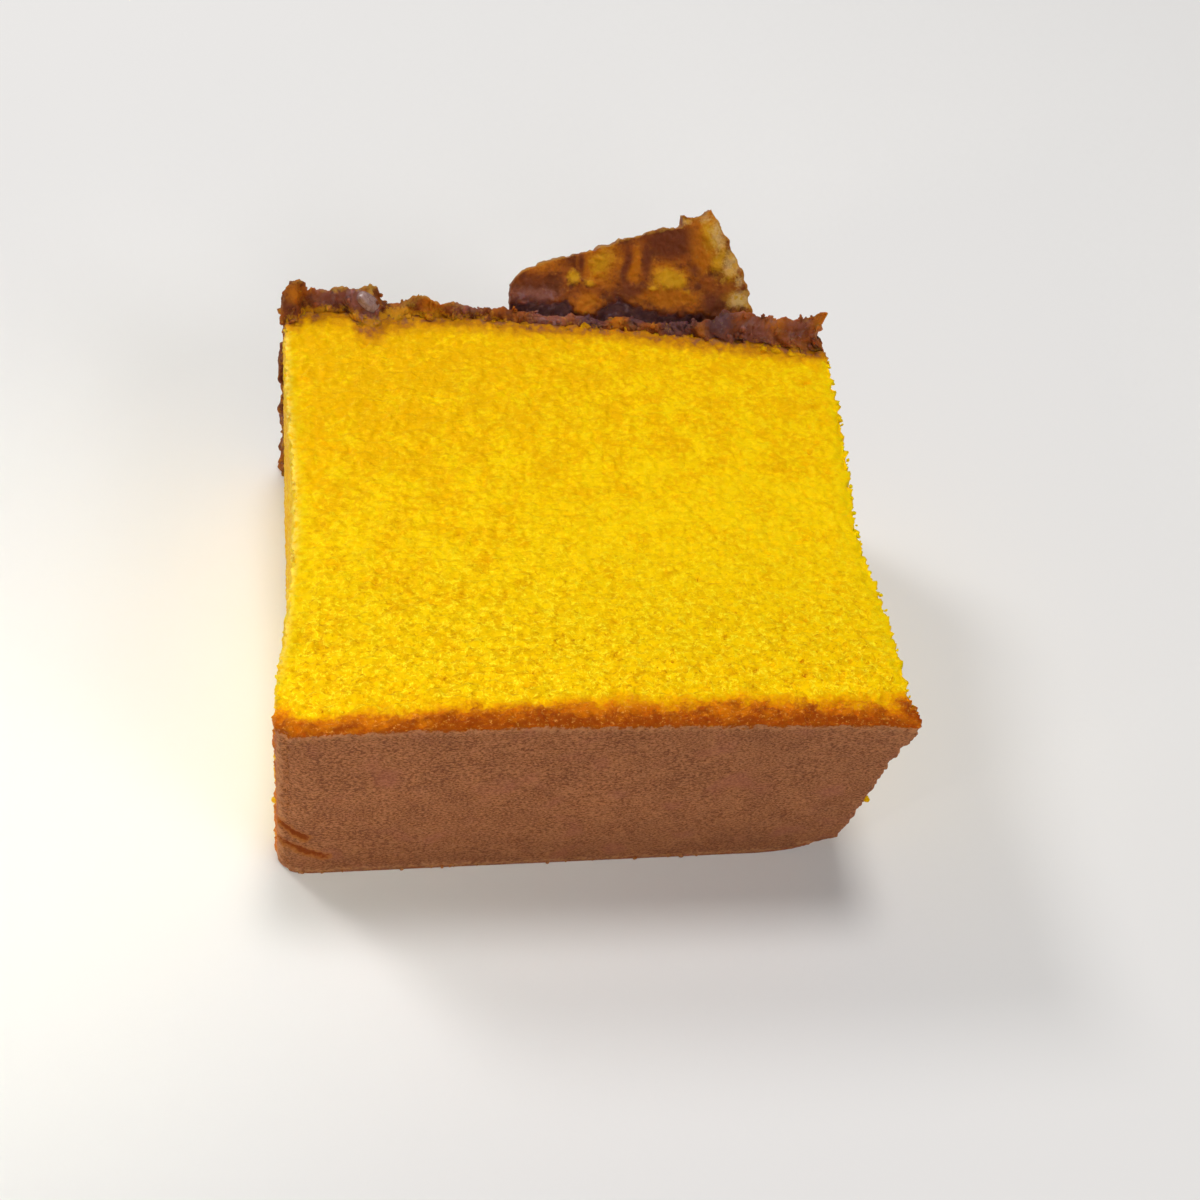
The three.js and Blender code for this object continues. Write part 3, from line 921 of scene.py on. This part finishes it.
def mark_edges(slab, points):
    """Marks the crust where it meets the crumb, and a painted highlight along its torn upper edge.
    """
    x, y, z = points.T
    inner = np.clip(1 - (y - back_line(x / LOAF_WIDTH) - 0.5), 0, 1)
    above = z - cut_height(x / LOAF_WIDTH, 1)
    fading = bell(np.maximum(above, 0), STAIN_REACH)
    keep_values(slab, "stain", profile(STAIN, x) * inner * fading)
    below_rim = np.maximum(profile(RIM, x) - above, 0)
    keep_values(slab, "fringe_highlight", profile(RIM_FRINGE_HIGHLIGHT, x) * bell(below_rim, FRINGE_HIGHLIGHT_REACH))


# %% Lumps and layers


def crag_tree():
    sizes = {"Lumps per square mm": 1.6, "Smallest": 0.25, "Largest": 0.55, "Seed": 4}
    r = Relief("rim_crags", sizes)
    given = r.given
    inputs = {
        "Mesh": given["Geometry"],
        "Density": r.times(given["Lumps per square mm"], r.read("rim")),
        "Seed": given["Seed"],
    }
    points = r.add("GeometryNodeDistributePointsOnFaces", inputs, "Points")
    dents = r.times(r.waver(0.8), 0.9)
    dented = {"Geometry": r.ball(), "Offset": r.vector("SCALE", r.out, dents)}
    lump = r.add("GeometryNodeSetPosition", dented)
    inputs = {2: given["Smallest"], 3: given["Largest"], "Seed": 3}
    size = r.add("FunctionNodeRandomValue", inputs, 1)
    squash = r.random((0.6, 0.6, 0.25), (1.3, 1.1, 0.8), seed=5)
    lumps = r.copies(points, lump, r.any_turn(seed=9), r.vector("SCALE", squash, size))
    joined = r.tree.nodes.new("GeometryNodeJoinGeometry")
    for part in (given["Geometry"], lumps):
        r.tree.links.new(part, joined.inputs[0])
    r.finish(joined.outputs[0], caramel)
    return r


def torn_tree():
    r = Relief("torn_layers", {"Layer depth": 0.4, "Lump height": 1.8, "Fine height": 0.8})
    torn = r.fade(r.noise(2.6, 4, 0.6), 0.47, 0.53, -0.5, 0.5)
    layers = r.total({"Layer depth": torn, "Lump height": r.waver(1.4, 3, 0.6)})
    up = r.parts(r.place)[2]
    calm = r.fade(up, SLICE_THICKNESS - BELOW_CUT, SLICE_THICKNESS, 1, 0.45)
    fine = r.total({"Fine height": r.waver(0.5, 3, 0.6)})
    r.finish(r.push(r.given["Geometry"], r.plus(r.times(layers, calm), fine)), caramel)
    return r


# %% Tones of the torn skin
# Each spot is (x, y, z, reach, strength), in the slice's millimetres.
SKIN_TONES = {
    "vein": [
        (-0.4, 58, 12.2, 4, 0.9), (-0.4, 58, 20.5, 4.5, 0.9), (0.8, 57.4, 29.6, 1.3, 0.9),
        (2.9, 58.2, 30.4, 0.9, 1), (2.6, 58.6, 32.8, 0.6, 0.7),
    ],
    "amber": [
        (1.3, 58.3, 31.5, 1.4, 0.8), (12.8, 57.4, 29.8, 0.8, 0.5), (17.5, 58.8, 30.8, 1.5, 1),
        (27, 58.4, 29.8, 1.5, 0.4), (33, 58.2, 29.6, 1.8, 0.5), (39.8, 57.8, 29.6, 1.6, 0.9),
        (44.4, 57.6, 30, 1.2, 0.7), (50.2, 56.6, 29.8, 1.5, 0.6), (58.9, 56.4, 31.2, 1.6, 1.1),
        (65, 56, 32.4, 1.9, 1.1), (62.6, 55.6, 29.6, 1.6, 0.9),
    ],
    "plum": [
        (5.6, 59, 30.6, 2.2, 1), (8.2, 59.3, 30.4, 1.8, 1), (10.2, 57, 29.4, 1.6, 1.2),
        (21.5, 58.5, 30, 2.2, 0.7), (31.5, 58.8, 29.6, 3.4, 0.8), (52.8, 56.4, 29.4, 1.6, 1),
        (57, 56.4, 30, 3.4, 0.8), (62.5, 56.2, 30.8, 3, 0.7),
    ],
    # painted shade: dark spots where the rim lies in shadow, mostly under the flap
    "painted_shade": [
        (37, 58.6, 29.6, 2.2, 1), (42.6, 58.6, 30, 1.8, 0.9), (47.5, 58.2, 30, 2.8, 1),
        (52.5, 57.4, 30.6, 2.2, 1), (3.1, 58.6, 31.2, 0.7, 0.8),
    ],
    "crumb_left": [(14.8, 57.8, 29.9, 0.9, 0.7)],
    "pale": [(10, 59.4, 31.6, 0.6, 0.6), (14, 58.6, 30.2, 0.7, 0.6)],
}


def spot_values(places, spots):
    """How much of a tone lies at each place: spots are a middle, its reaches and a strength."""
    value = np.zeros(len(places))
    size = places.shape[1]
    for spot in spots:
        middle, reaches, strength = spot[:size], spot[size:-1], spot[-1]
        away = np.linalg.norm((places - middle) / reaches, axis=1)
        value = np.maximum(value, strength * bell(away, 1))
    return value


def points_of(piece):
    points = np.empty(3 * len(piece.data.vertices), np.float32)
    piece.data.vertices.foreach_get("co", points)
    return points.reshape(-1, 3).astype(float)


slab = make_slab()
grow(slab, crag_tree())
grow(slab, torn_tree())
settle(slab)
for tone, spots in SKIN_TONES.items():
    keep_values(slab, tone, spot_values(points_of(slab), spots))
mark_edges(slab, points_of(slab))
shade_smooth(slab)
mount(slab)

# %% [markdown]
# ## The peeled flap
#
# Where the paper pulled hardest, a strip of skin came away and stands up behind the slice. It is
# a sheet that leaves the back along a bend and then runs straight, leaning backwards. The sheet
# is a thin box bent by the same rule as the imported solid, with its edges torn by noise. Yellow
# crumb still sticks to its inner side.

# %% Shape of the flap
FLAP_LEFT, FLAP_RIGHT = 27, 58.4
FLAP_THICKNESS = 1
FLAP_LEAN = math.radians(39)
FLAP_BEND_RADIUS = 11
FLAP_BEND_END = (2.7, 2)  # behind and below the crumb's back upper edge
FLAP_NARROWING = [
    (0, 0.2), (1.3, 0.9), (4.5, 1.7), (8.7, 3.1), (12, 5.1), (15.3, 7.6),
]  # at these lengths up its straight part
FLAP_WAVE = {"height": 0.8, "pitch": 7}
FLAP_EDGE = [
    (0, 4.2), (0.05, 5.9), (0.22, 7.8), (0.42, 9.6), (0.62, 11.5), (0.81, 12.8), (0.83, 14.2),
    (0.87, 13.7), (0.94, 14.3), (1, 15.3),
]
FLAP_LAYER = 0.75  # crumb and skin that still cling to its inner side, down to these lobes
FLAP_LOBES = [
    (27, 1.9), (31, 2.3), (34, 2.3), (35.4, 1.2), (37.6, 0.9), (38.8, 2.4), (40.4, 3.5), (42, 2.6),
    (46, 2), (51, 2.2), (52.5, 0.5), (54, -4), (58, -6),
]
FLAP_FRINGE_HIGHLIGHT_REACH = 0.3
LOBE_TEETH = [(0.35, 1.1, 0.9), (0.2, 0.45, 0.4)]  # height, pitch across, pitch up
FLAP_TEETH = [(0.2, 1.1, 0), (0.12, 0.45, 5)]  # along its upper edge, which spans this length:
FLAP_SPAN = 30.6
SIDE_TEETH = [(0.2, 1.2, 2), (0.12, 0.5, 7)]  # up its sides
FLAP_STEPS = (150, 3, 110)
BEND_LENGTH = FLAP_BEND_RADIUS * FLAP_LEAN


def lobe_edge(x, straight):
    """How far up the clinging layer starts, with its tears."""
    edge = profile(FLAP_LOBES, x)
    for height, across, up in LOBE_TEETH:
        edge = edge + height * bumps(x / across, straight / up)
    return edge


def flap_point(u, v, w):
    """A point of the flap, and how far up its straight part it lies."""
    ragged = add_teeth(0, u * FLAP_SPAN, FLAP_TEETH)
    length = w * (BEND_LENGTH + profile(FLAP_EDGE, u) + ragged * np.clip(w * 3 - 2, 0, 1))
    angle = np.minimum(length, BEND_LENGTH) / FLAP_BEND_RADIUS
    straight = np.maximum(0, length - BEND_LENGTH)
    nibble = add_teeth(0, length, SIDE_TEETH)
    right = FLAP_RIGHT - profile(FLAP_NARROWING, straight) + nibble
    x = mix(FLAP_LEFT + 0.6 * nibble, right, u)
    wave = FLAP_WAVE["height"] * bumps(x / FLAP_WAVE["pitch"], length / FLAP_WAVE["pitch"]) * w
    lobe = straight - lobe_edge(x, straight)
    layer = FLAP_LAYER * np.clip(lobe / 0.6 + 0.5, 0, 1)
    offset = (v - 0.5) * FLAP_THICKNESS + wave - layer * (1 - v)
    bend_back = FLAP_BEND_RADIUS * (np.cos(angle) - math.cos(FLAP_LEAN))
    bend_down = FLAP_BEND_RADIUS * (math.sin(FLAP_LEAN) - np.sin(angle))
    behind = FLAP_BEND_END[0] - bend_back + straight * math.sin(FLAP_LEAN)
    above = -FLAP_BEND_END[1] - bend_down + straight * math.cos(FLAP_LEAN)
    y = back_line(x / LOAF_WIDTH) + behind + offset * np.cos(angle)
    z = SLICE_THICKNESS + above - offset * np.sin(angle)
    return np.stack([x, y, z], -1), straight


# Spots on its inner side, as (x, length up its straight part, reach across, reach up, strength).
FLAP_TONES = {
    "amber": [
        (38.3, 7.2, 3, 3.2, 1), (46.6, 4.2, 4.6, 1.5, 1.1), (50.6, 13.8, 2.2, 2.4, 1),
        (36.4, 2.4, 2.2, 1.5, 0.9), (31, 6.8, 2.6, 1.2, 0.75), (42.4, 7.4, 0.7, 3.4, 1.1),
        (50.6, 10.6, 1.8, 3.4, 1), (46.4, 6.8, 3.4, 2.4, 0.9), (56.2, 4, 2, 1.4, 0.5),
    ],
    "vein": [
        (41.2, 7.6, 0.6, 3.6, 0.75), (43.7, 8.7, 0.7, 2.8, 0.8), (46.4, 10.9, 3.4, 1.9, 0.95),
        (42.3, 4.8, 2, 1.2, 0.8), (35.9, 7.4, 0.6, 1.8, 0.8), (52.4, 4, 1.8, 1.5, 0.85),
        (29.6, 4.6, 2.4, 1.2, 0.7), (49.6, 8, 1, 1, 0.6), (40.2, 3.6, 0.9, 0.9, 0.7),
    ],
    "plum": [(30, 2.8, 3.2, 1.5, 0.9)],
    "crumb_left": [
        (46.4, 6.6, 2, 1.4, 1.05), (38.4, 7.4, 1.6, 2, 0.75), (34.7, 5.3, 1, 0.8, 0.95),
        (51.4, 12, 1.1, 1.8, 0.9), (52.6, 9.6, 1, 2.4, 0.8), (36.9, 4.9, 1, 0.6, 0.7),
        (54, 7.6, 1, 1.4, 0.6), (44.6, 5.2, 0.7, 0.5, 0.7), (48.4, 5.2, 0.8, 0.6, 0.6),
    ],
    "pale": [
        (52.2, 12.2, 1.2, 2, 0.75), (54.2, 9.2, 1.3, 1.8, 0.75), (55.7, 4.6, 1.5, 1.1, 1.1),
        (48.4, 13.2, 1, 0.5, 0.8), (55.2, 6.9, 0.7, 0.9, 0.6), (50.6, 13.6, 0.9, 0.8, 0.6),
    ],
}


def make_flap():
    place, faces = box_lattice(FLAP_STEPS)
    u, v, w = (place / np.array(FLAP_STEPS)).T
    points, straight = flap_point(u, v, w)
    flap = new_piece("peeled_flap", points, faces)
    inner = np.clip(1 - 1.5 * v, 0, 1)
    x = points[:, 0]
    waver, rise = 0.5 * bumps(straight / 2.1, x / 3.7), 0.5 * bumps(x / 2.3, straight / 3.1)
    # under: the flap below its lobes, in the shadow of the hanging layer; plum and the dark tone
    # there are painted shade
    under = inner * np.clip(0.5 - (straight - lobe_edge(x, straight)) / 0.6, 0, 1)
    places = np.stack([x + waver, straight + rise], -1)
    for tone, spots in FLAP_TONES.items():
        least = 0.9 * under if tone == "plum" else 0
        keep_values(flap, tone, np.maximum(spot_values(places, spots), least) * inner)
    keep_values(flap, "painted_shade", 0.7 * under)
    # painted highlight along the flap's torn upper edge
    below_edge = np.minimum(profile(FLAP_EDGE, u) - straight, (1 - u) * 20)
    keep_values(flap, "fringe_highlight", 0.8 * bell(np.maximum(below_edge, 0), FLAP_FRINGE_HIGHLIGHT_REACH))
    return flap


def flap_tree():
    r = Relief("flap_relief", {"Lump height": 1, "Fine height": 0.5, "Crumb height": 0.25})
    crumb = r.plus(r.read("crumb_left"), r.times(r.waver(1, 3), 1.2))
    heights = {
        "Lump height": r.waver(2.2, 4, 0.6),
        "Fine height": r.waver(0.6, 3, 0.6),
        "Crumb height": r.fade(crumb, 0.3, 0.7),
    }
    r.finish(r.push(r.given["Geometry"], r.total(heights)), caramel)
    return r


flap = make_flap()
grow(flap, flap_tree())
settle(flap)
shade_smooth(flap)
mount(flap)

# %% [markdown]
# ## Coarse sugar
#
# Coarse sugar crystals are strewn in the baking frame before the batter goes in. What has not
# melted sits in the bottom skin as milky, rounded blocks. Each is a cube drawn most of the way to
# a ball and then dented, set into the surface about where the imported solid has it.

# %% Sugar material and crystals
SUGAR_COLOUR = (0.42, 0.27, 0.25)
SUGAR_GREY = (0.31, 0.18, 0.165)
SUGAR_SIZE = np.array([2.4, 1.9, 1.8])
SUGAR_ROUND = {"share": 0.8, "radius": 0.56}
SUGAR_STRETCH = (1.2, 0.85, 0.85)
SUGAR_ON_RIM = (10.3, 1.9)
SUGAR_ON_BACK = {"count": 6, "lowest": 3, "highest": 19, "spread": 0.6, "seed": 7}
RIM_CRYSTAL = {"turn": (0.3, 0.75, -0.25), "left": 0.5}


def sugar_finish():
    f = Finish("coarse_sugar")
    cloud = f.noise(1, 3)
    f.set(Base_Color=f.paint(f.fade(cloud, 0.35, 0.65), SUGAR_GREY, SUGAR_COLOUR))
    f.set(Roughness=f.fade(cloud, 0.3, 0.7, 0.12, 0.35))
    f.set(Subsurface_Weight=0.8, Subsurface_Radius=(1, 0.9, 0.85), Subsurface_Scale=0.8 * MM)
    f.set(Transmission_Weight=0.15)
    f.set(Normal=f.bump(f.noise(0.4, 3), 0.08, 0.6))
    return f.material


sugar = sugar_finish()


def make_crystals():
    """The crystals' middles, each with its turn."""
    rows = SUGAR_ON_BACK
    x, above = SUGAR_ON_RIM
    y = float(back_line(x / LOAF_WIDTH))
    centres = [(x - RIM_CRYSTAL["left"], y, SLICE_THICKNESS + above)]
    for i in range(rows["count"]):
        u = (i + 0.5 + rows["spread"] * (float(scatter(rows["seed"], i)) - 0.5)) / rows["count"]
        level = mix(rows["lowest"], rows["highest"], float(scatter(i, rows["seed"])))
        centres.append((u * LOAF_WIDTH, float(back_line(u)) + SKIN_THICKNESS, level))
    crystals = new_piece("coarse_sugar", centres, [])
    numbers = np.arange(len(centres))
    for axis, turn in enumerate(RIM_CRYSTAL["turn"]):
        turns = np.where(numbers == 0, turn, math.pi * scatter(numbers, axis + 1))
        keep_values(crystals, f"turn_{axis}", turns)
    return crystals


def crystal_tree():
    r = Relief("crystals", {"Size share": 1, "Chip": 0.45})
    inputs = {"Size": tuple(SUGAR_SIZE), **{f"Vertices {axis}": 6 for axis in "XYZ"}}
    cube = r.add("GeometryNodeMeshCube", inputs, "Mesh")
    radii = tuple(SUGAR_SIZE * SUGAR_ROUND["radius"])
    ball = r.vector("MULTIPLY", r.vector("NORMALIZE", r.place), radii)
    inputs = {0: SUGAR_ROUND["share"], 4: r.place, 5: ball}
    rounded = r.add("ShaderNodeMix", inputs, 1, data_type="VECTOR")
    cube = r.add("GeometryNodeSetPosition", {"Geometry": cube, "Position": rounded})
    turn = r.add("ShaderNodeCombineXYZ", {axis: r.read(f"turn_{axis}") for axis in range(3)})
    scale = r.vector("SCALE", SUGAR_STRETCH, r.given["Size share"])
    placed = r.copies(r.given["Geometry"], cube, turn, scale)
    whole = r.add("GeometryNodeRealizeInstances", {0: placed})
    r.finish(r.push(whole, r.total({"Chip": r.waver(1.1)})), sugar)
    return r


crystals = make_crystals()
grow(crystals, crystal_tree())
settle(crystals)
mount(crystals)

# %% [markdown]
# ## Crumbs that cling to the edges
#
# A sliced sponge sheds crumbs. Some hang on along the cut edges, at the foot of the torn rim and
# under the front skin. Each is a small dented ball, pressed into the surface where it clings, and
# carries the tones that the sponge's finish reads.

# %% Clinging crumbs
CRUMB_SEED = 11
# How many, with their smallest and largest radius. Those of the sides start with the side.
SIDE_FUZZ = [(1, 60, 0.12, 0.34), (0, 45, 0.1, 0.25)]
RIM_CRUMBS = (40, 0.2, 0.5)
FOOT_CRUMBS = (18, 0.15, 0.3)
CRUMB_SPOTS = [
    (-0.25, 2.4, 11, 0.4, 0), (58, 54.4, 28.6, 0.9, 0.7), (59.4, 54.2, 28.5, 0.7, 0.6),
    (61.6, 54, 28.4, 0.9, 0.7), (63, 53.8, 28.4, 0.7, 0.8), (36, 57.4, 28.6, 0.8, 0.8),
    (45.8, 56.6, 28.6, 0.7, 0.9),
]  # (x, y, z, radius, syrup)
EDGE_CRUMB = {"share": 0.43, "out": 0.1, "radius": 0.45}  # on the skin's right edge, so high up it
DEEP_INSIDE, ON_SKIN = 50, -0.6  # how far from the skin's edge the finish takes a crumb to be


def make_crumbs():
    rng = np.random.default_rng(CRUMB_SEED)
    rows = []  # x, y, z, radius, from_skin, syrup
    for side, count, smallest, largest in SIDE_FUZZ:
        v, w = rng.uniform(0.02, 0.97, count), 1 - 0.1 * rng.uniform(0, 1, count) ** 2
        points = crumb_point(np.full(count, side), v, w)
        radius = rng.uniform(smallest, largest, count)
        rows += [(*point, r, v_ * LOAF_HEIGHT, 0) for point, r, v_ in zip(points, radius, v)]
    on_edge = len(rows)
    count, smallest, largest = RIM_CRUMBS
    x = rng.uniform(0.5, LOAF_WIDTH - 0.5, count)
    y = profile(FOOT, x) - rng.uniform(-0.3, 1, count)
    z = cut_height(x / LOAF_WIDTH, y / LOAF_HEIGHT)
    syrup = rng.uniform(0.6, 1.3, count)
    radius = rng.uniform(smallest, largest, count)
    rows += zip(x, y, z - 0.6 * radius, radius, [DEEP_INSIDE] * count, syrup)
    count, smallest, largest = FOOT_CRUMBS
    points = crumb_point(rng.uniform(0.03, 0.85, count), np.zeros(count), np.full(count, 0.01))
    radius = rng.uniform(smallest, largest, count)
    rows += [(*point, r, ON_SKIN, 0) for point, r in zip(points, radius)]
    rows += [(*place, r, DEEP_INSIDE, syrup) for *place, r, syrup in CRUMB_SPOTS]
    x, y, z = crumb_point(*np.array([1, 0.005, EDGE_CRUMB["share"]]))
    rows.append((x + EDGE_CRUMB["out"], y, z, EDGE_CRUMB["radius"], DEEP_INSIDE, 0))
    rows = np.array(rows)
    rows[:, 2] = np.maximum(rows[:, 2], rows[:, 3] * 0.9)
    crumbs = new_piece("clinging_crumbs", rows[:, :3], [])
    for column, name in enumerate(("radius", "from_skin", "syrup"), start=3):
        keep_values(crumbs, name, rows[:, column])
    keep_values(crumbs, "edge", np.arange(len(rows)) < on_edge)
    return crumbs


def crumb_tree():
    r = Relief("clinging_crumb_shapes", {"Dents": 1.6})
    squash = r.random((0.7, 0.7, 0.5), (1.3, 1.2, 0.9), seed=6)
    scale = r.vector("SCALE", squash, r.read("radius"))
    placed = r.copies(r.given["Geometry"], r.ball(), r.any_turn(seed=4), scale)
    whole = r.add("GeometryNodeRealizeInstances", {0: placed})
    dents = r.times(r.waver(0.5), r.times(r.given["Dents"], r.read("radius")))
    r.finish(r.push(whole, dents), sponge)
    return r


crumbs = make_crumbs()
grow(crumbs, crumb_tree())
settle(crumbs)
mount(crumbs)

# %% [markdown]
# ## The setting
#
# A plain pale floor in a bright room: a large soft light overhead and a little behind, others from
# the back left, the front right and the front to open the shadows, and a small warm one that
# brings back the glow of yellow crumb at the left. A faint even light fills in all round.

# %% Floor
FLOOR_REACH = 3
FLOOR_WHITE = (0.86, 0.852, 0.846, 1)


def make_floor():
    corners = FLOOR_REACH * np.array([(-1, -1, 0), (1, -1, 0), (1, 1, 0), (-1, 1, 0)])
    floor = new_piece("floor", corners, [(0, 1, 2, 3)])
    f = Finish("pale_paper")
    f.set(Base_Color=FLOOR_WHITE, Roughness=0.8)
    floor.data.materials.append(f.material)


make_floor()

# %% Light
ROOM_LIGHT = {"Color": (1, 0.99, 0.99, 1), "Strength": 0.1}
# Each lamp: where it is, what it aims at, its size, power, colour and spread in degrees.
LAMPS = {
    "overhead": ((0.02, 0.24, 0.96), (0, 0, 0.02), 0.26, 4, (1, 0.99, 0.98), 180),
    "back_left": ((-0.48, 0.42, 0.58), (0, 0, 0.02), 0.22, 2.45, (1, 0.99, 0.97), 180),
    "front_right": ((0.48, -0.48, 0.56), (0, 0, 0.02), 0.32, 1.7, (1, 0.99, 0.98), 180),
    "front": ((0.08, -0.72, 0.4), (0, 0, 0.02), 0.4, 0.98, (1, 0.99, 0.98), 180),
    "left_glow": ((-0.2, -0.14, 0.12), (-0.05, -0.015, 0), 0.05, 0.011, (1, 0.99, 0.8), 35),
}

scene = bpy.context.scene
scene.view_settings.view_transform = "Standard"
scene.world = bpy.data.worlds.new("room")
scene.world.use_nodes = True
for name, value in ROOM_LIGHT.items():
    scene.world.node_tree.nodes["Background"].inputs[name].default_value = value

for name, (place, aim, size, power, colour, spread) in LAMPS.items():
    light = bpy.data.lights.new(name, "AREA")
    light.shape, light.spread = "DISK", math.radians(spread)
    light.size, light.energy, light.color = size, power, colour
    lamp = bpy.data.objects.new(name, light)
    lamp.location = place
    lamp.rotation_euler = (Vector(aim) - Vector(place)).to_track_quat("-Z", "Y").to_euler()
    scene.collection.objects.link(lamp)
print("lamps:", ", ".join(LAMPS))

# %% [markdown]
# ## The camera
#
# The camera looks down at the slice from the front left, tilted a little to one side. Its place
# is given in the slice's own layout, like every other size.

# %% Camera
CAMERA_PLACE = (3.2, -88.4, 168)
LOOK_DOWN, LOOK_RIGHT, ROLL = (math.radians(a) for a in (52, 16.3, 13.3))
LENS, SENSOR = 49.62, 36


def make_camera():
    camera = bpy.data.cameras.new("camera")
    camera.lens, camera.sensor_width = LENS, SENSOR
    across, ahead = math.sin(LOOK_RIGHT), math.cos(LOOK_RIGHT)
    flat, down = math.cos(LOOK_DOWN), math.sin(LOOK_DOWN)
    forward = Vector((across * flat, ahead * flat, -down))
    level = Vector((ahead, -across, 0))
    upright = level.cross(forward)
    right = math.cos(ROLL) * level + math.sin(ROLL) * upright
    up = -math.sin(ROLL) * level + math.cos(ROLL) * upright
    turned = Matrix((right, up, -forward)).transposed().to_4x4()
    place = Vector(CAMERA_PLACE) - Vector((*MIDDLE, 0))
    eye = bpy.data.objects.new("camera", camera)
    eye.matrix_world = Matrix.Translation(place * MM) @ turned
    scene.collection.objects.link(eye)
    scene.camera = eye


make_camera()
